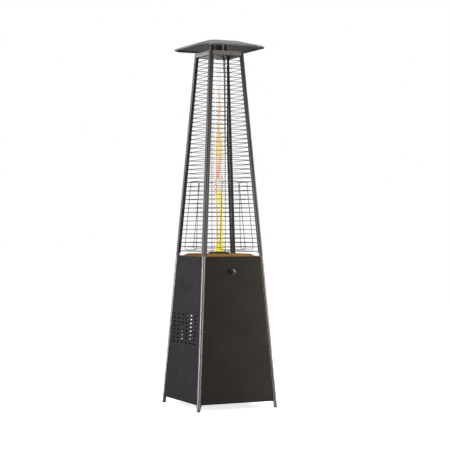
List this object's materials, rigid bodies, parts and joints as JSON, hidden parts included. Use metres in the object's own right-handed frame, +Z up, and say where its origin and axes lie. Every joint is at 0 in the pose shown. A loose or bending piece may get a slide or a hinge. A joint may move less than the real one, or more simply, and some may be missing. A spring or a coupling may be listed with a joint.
{
  "type": "outdoor gas heater",
  "caption": "Free-standing pyramid gas patio heater: gas cabinet with vented rear door, glass flame tube behind wire guards, low hood on standoffs.",
  "frame": {"origin": "on the floor under the middle of the heater", "axes": "+Z up, -Y is the front face with the control knob, +X is the right side seen from the front"},
  "size_m": [0.545, 0.545, 2.276],
  "materials": {
    "post_bright": "brushed, satin",
    "post_dark": "brushed, heat-toned",
    "foot_cap": "matte",
    "panel": "matte powder coat",
    "inner_steel": "zinc grey, dull",
    "deck": "brushed, heat-toned",
    "cast": "dark, rough",
    "glass": "clear, polished",
    "gasket": "woven glass fibre",
    "guard_wire": "satin grey-brown",
    "plate": "brushed, satin",
    "flue": "dark, heat-resistant",
    "hood": "brushed, satin",
    "zinc": "bright zinc plate",
    "black_screw": "blackened",
    "brass": "machined",
    "aluminium": "as cast",
    "knob": "fine matte",
    "bezel": "satin",
    "burner": "heat-toned",
    "spring": "spring steel",
    "magnet": "matte",
    "switch": "matte",
    "ceramic": "unglazed",
    "lead": "silicone sheath"
  },
  "bodies": {
    "root": {"lower_post_front_left": "post_bright", "upper_post_front_left": "post_dark", "lower_post_front_right": "post_bright", "upper_post_front_right": "post_dark", "lower_post_rear_left": "post_bright", "upper_post_rear_left": "post_dark", "lower_post_rear_right": "post_bright", "upper_post_rear_right": "post_dark", "guard_front": "guard_wire", "guard_left": "guard_wire", "guard_rear": "guard_wire", "guard_right": "guard_wire", "foot_caps": "foot_cap", "post_splices": "inner_steel", "front_panel": "panel", "left_panel": "panel", "right_panel": "panel", "base_plate": "inner_steel", "cylinder_ring": "inner_steel", "deck": "deck", "glass_seat_ring": "cast", "glass_gasket": "gasket", "glass_tube": "glass", "frame_screws": "black_screw", "top_plate": "plate", "flue_sleeve": "flue", "hood": "hood", "standoff_rods": "zinc", "standoff_nuts": "zinc", "hood_cap_nuts": "zinc", "hinge_post_leaves": "inner_steel", "hinge_pins": "zinc", "door_magnet": "magnet", "heat_shield": "inner_steel", "tilt_switch": "switch", "valve_body": "aluminium", "gas_inlet": "brass", "valve_bracket": "inner_steel", "valve_cap": "brass", "knob_bezel": "bezel", "piezo_igniter": "switch", "burner_pot": "burner", "flame_screen": "burner", "venturi_tube": "burner", "orifice_holder": "brass", "burner_bracket": "inner_steel", "manifold_tube": "aluminium", "pilot_bracket": "inner_steel", "pilot_burner": "brass", "thermocouple": "brass", "pilot_tube": "aluminium", "igniter_electrode": "ceramic", "igniter_lead": "lead"},
    "door": {"rear_door": "panel", "door_handle": "black_screw", "hinge_door_leaves": "inner_steel"},
    "valve_core": {"valve_plug": "brass", "stem_spring": "spring"},
    "knob": {"control_knob": "knob", "valve_stem": "brass"}
  },
  "joints": [
    {"name": "door_hinge", "type": "hinge", "parent": "root", "child": "door", "pos_m": [-0.24335, 0.26389, 0.16398], "axis": [0.0705, -0.0705, 0.995], "range_deg": [0, 105]},
    {"name": "knob_turn", "type": "hinge", "parent": "root", "child": "valve_core", "pos_m": [-0.006, -0.21132, 0.8382], "axis": [0, -0.9975, 0.0707], "range_deg": [0, 210]},
    {"name": "knob_push", "type": "slide", "parent": "valve_core", "child": "knob", "axis": [0, 0.9975, -0.0707], "range_m": [0, 0.004], "stiffness_N_per_m": 500, "springref_m": -0.003, "deforming": ["stem_spring"]}
  ]
}
